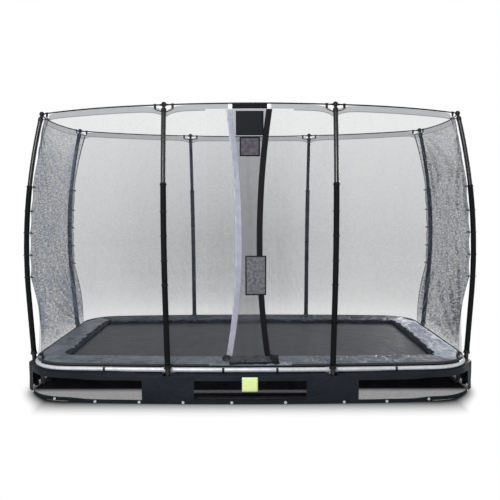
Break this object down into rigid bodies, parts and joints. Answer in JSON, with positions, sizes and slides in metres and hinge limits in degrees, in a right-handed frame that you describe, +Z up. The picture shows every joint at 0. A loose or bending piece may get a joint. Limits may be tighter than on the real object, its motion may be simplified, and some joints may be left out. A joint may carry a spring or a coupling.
{
  "type": "trampoline",
  "caption": "Low oblong garden trampoline on U-shaped legs, with a sprung mat, edge pad, skirt and a safety net hung inside bowed poles, with a curtained entrance.",
  "frame": {"origin": "on the ground, under the middle of the mat", "axes": "+X along the trampoline's length, -Y towards the entrance, +Z up"},
  "size_m": [3.911, 2.5284, 2.3703],
  "materials": {
    "galvanised_steel": "galvanised",
    "zinc_bolt": "zinc plated",
    "black_foam": "matt foam under a thin skin",
    "black_plastic": "matt",
    "black_rod": "satin",
    "black_steel": "satin",
    "black_elastic": "matt",
    "dark_cloth": "matt",
    "net_mesh": "open mesh",
    "dark_patch": "matt",
    "pad_vinyl": "satin coated cloth",
    "white_plastic": "gloss",
    "lime_label": "matt",
    "skirt_cloth": "matt",
    "jump_fabric": "woven, matt",
    "hem_webbing": "webbing",
    "spring_steel": "zinc plated"
  },
  "bodies": {
    "frame": {"rail_front": "galvanised_steel", "rail_rear": "galvanised_steel", "rail_left": "galvanised_steel", "rail_right": "galvanised_steel", "corner_front_left": "galvanised_steel", "corner_front_right": "galvanised_steel", "corner_rear_left": "galvanised_steel", "corner_rear_right": "galvanised_steel", "leg_front": "galvanised_steel", "leg_rear": "galvanised_steel", "leg_left": "galvanised_steel", "leg_right": "galvanised_steel", "rail_sockets": "galvanised_steel", "pole_brackets": "galvanised_steel", "frame_bolts": "zinc_bolt", "pole_front_left": "black_steel", "pole_front_right": "black_steel", "pole_right_front": "black_steel", "pole_right_rear": "black_steel", "pole_rear_right": "black_steel", "pole_rear_left": "black_steel", "pole_left_rear": "black_steel", "pole_left_front": "black_steel", "pole_lower_tubes": "black_steel", "pole_sleeves": "black_foam", "pole_collars": "black_plastic", "pole_caps": "black_plastic", "ring_rods": "black_rod", "net_clips": "black_plastic", "net_loops": "black_elastic", "net_ties": "black_elastic", "net_front_left": "net_mesh", "net_front_right": "net_mesh", "net_header": "dark_cloth", "net_corner_front_right": "net_mesh", "net_right": "net_mesh", "net_corner_rear_right": "net_mesh", "net_rear": "net_mesh", "net_corner_rear_left": "net_mesh", "net_left": "net_mesh", "net_corner_front_left": "net_mesh", "pad_front": "pad_vinyl", "pad_right": "pad_vinyl", "pad_rear": "pad_vinyl", "pad_left": "pad_vinyl", "pad_ties": "black_elastic", "entrance_apron": "dark_cloth", "skirt_front": "skirt_cloth", "skirt_right": "skirt_cloth", "skirt_rear": "skirt_cloth", "skirt_left": "skirt_cloth", "skirt_pegs": "white_plastic", "skirt_label": "lime_label", "springs": "spring_steel"},
    "mat": {"jump_mat": "jump_fabric", "mat_hem": "hem_webbing", "v_rings": "spring_steel"},
    "outer_curtain": {"door_outer": "net_mesh", "door_patches": "dark_patch"},
    "inner_curtain": {"door_inner": "net_mesh"}
  },
  "joints": [
    {"name": "mat_bounce", "type": "slide", "parent": "frame", "child": "mat", "axis": [0, 0, 1], "range_m": [-0.18, 0], "stiffness_N_per_m": 5000, "springref_m": 0.02, "deforming": ["springs"]},
    {"name": "outer_curtain_swing", "type": "hinge", "parent": "frame", "child": "outer_curtain", "pos_m": [-0.33, -1.2185, 1.3], "axis": [0, 0, -1], "range_deg": [0, 60], "stiffness_Nm_per_rad": 2},
    {"name": "inner_curtain_swing", "type": "hinge", "parent": "frame", "child": "inner_curtain", "pos_m": [0.33, -1.1305, 1.3], "axis": [0, 0, -1], "range_deg": [0, 60], "stiffness_Nm_per_rad": 2}
  ]
}
